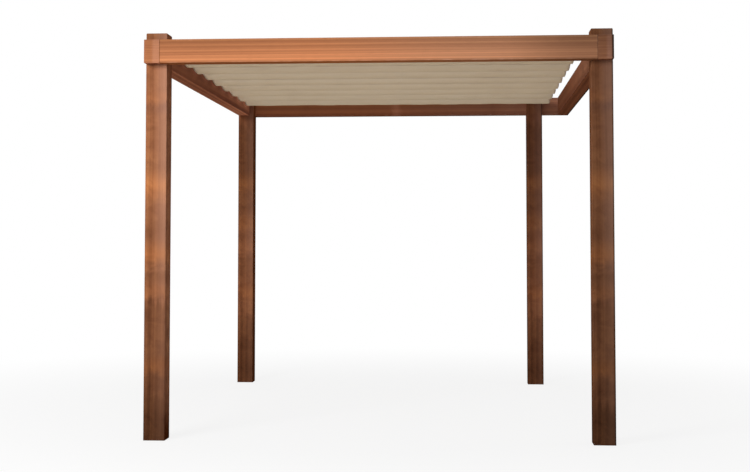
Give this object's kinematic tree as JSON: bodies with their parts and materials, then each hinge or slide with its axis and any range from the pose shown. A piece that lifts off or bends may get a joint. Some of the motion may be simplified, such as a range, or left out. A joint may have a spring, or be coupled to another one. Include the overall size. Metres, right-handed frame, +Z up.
{
  "type": "wooden pergola with a waved cloth canopy",
  "caption": "Open timber pergola: square posts carry a rim of beams, and a waved cloth canopy hangs from bars on taut wire ropes to shade the space below.",
  "frame": {"origin": "on the ground, under the middle of the frame", "axes": "+X to the right, +Y from the front to the rear, +Z up"},
  "size_m": [3.03, 3.72, 2.65],
  "materials": {
    "post_timber": "stained reddish brown, satin",
    "beam_timber": "stained reddish brown, satin",
    "canopy_cloth": "plain woven awning cloth, ecru",
    "bar_aluminium": "satin",
    "rope_steel": "stranded stainless wire",
    "fitting_steel": "satin stainless",
    "runner_plastic": "matt dark brown"
  },
  "bodies": {
    "root": {"post_front_left": "post_timber", "post_front_right": "post_timber", "post_rear_left": "post_timber", "post_rear_right": "post_timber", "beam_front": "beam_timber", "beam_rear": "beam_timber", "beam_left": "beam_timber", "beam_right": "beam_timber", "canopy": "canopy_cloth", "canopy_bar_01": "bar_aluminium", "canopy_bar_02": "bar_aluminium", "canopy_bar_03": "bar_aluminium", "canopy_bar_04": "bar_aluminium", "canopy_bar_05": "bar_aluminium", "canopy_bar_06": "bar_aluminium", "canopy_bar_07": "bar_aluminium", "canopy_bar_08": "bar_aluminium", "canopy_bar_09": "bar_aluminium", "canopy_bar_10": "bar_aluminium", "wire_rope_left": "rope_steel", "wire_rope_right": "rope_steel", "rope_anchor_front_left": "fitting_steel", "rope_anchor_front_right": "fitting_steel", "rope_anchor_rear_left": "fitting_steel", "rope_anchor_rear_right": "fitting_steel", "rope_tensioner_left": "fitting_steel", "rope_tensioner_right": "fitting_steel", "rope_runners_left": "runner_plastic", "rope_runners_right": "runner_plastic"}
  },
  "joints": []
}
